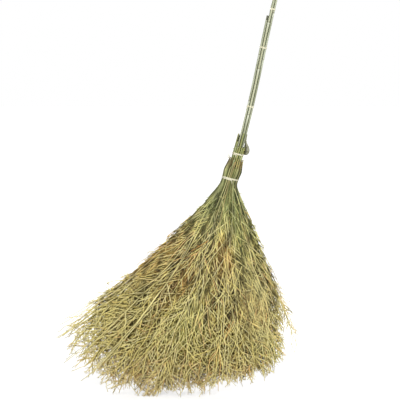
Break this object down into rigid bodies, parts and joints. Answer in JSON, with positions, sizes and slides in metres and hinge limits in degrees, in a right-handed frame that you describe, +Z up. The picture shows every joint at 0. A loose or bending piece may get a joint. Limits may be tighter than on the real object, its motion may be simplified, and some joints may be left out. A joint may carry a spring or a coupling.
{
  "type": "bamboo broom",
  "caption": "Tall yard broom of plain bamboo: a bundled culm handle leans over a wide flat fan of fine twigs, bound with narrow bands of split bamboo.",
  "frame": {"origin": "middle of the broom's footprint, on the floor that the worn twig tips stand on", "axes": "+Z up; +X the side that the handle leans to, so the fan lies flat in the XZ plane; +Y away from someone who looks at the flat of the fan with the handle leaning right"},
  "size_m": [1.019, 0.254, 1.7494],
  "materials": {
    "culm": "smooth dry bamboo skin, satin, pale grey green with olive and straw streaks",
    "stem": "bamboo branches, satin, olive green",
    "twig": "fine dry bamboo twigs, matte, straw with olive ones among them",
    "tie": "split bamboo, satin, cream"
  },
  "bodies": {
    "root": {"culm_front": "culm", "culm_front_right": "culm", "culm_rear_right": "culm", "culm_rear": "culm", "culm_rear_left": "culm", "culm_front_left": "culm", "culm_middle": "culm", "branch_stem_01": "stem", "branch_stem_02": "stem", "branch_stem_03": "stem", "branch_stem_04": "stem", "branch_stem_05": "stem", "branch_stem_06": "stem", "branch_stem_07": "stem", "branch_stem_08": "stem", "branch_stem_09": "stem", "branch_stem_10": "stem", "branch_stem_11": "stem", "branch_stem_12": "stem", "branch_stem_13": "stem", "branch_stem_14": "stem", "twig_spray_right": "twig", "twig_spray_back": "twig", "twig_spray_left": "twig", "twig_spray_front": "twig", "tie_top": "tie", "tie_upper": "tie", "tie_middle": "tie", "tie_neck": "tie", "tie_head": "tie"}
  },
  "joints": []
}
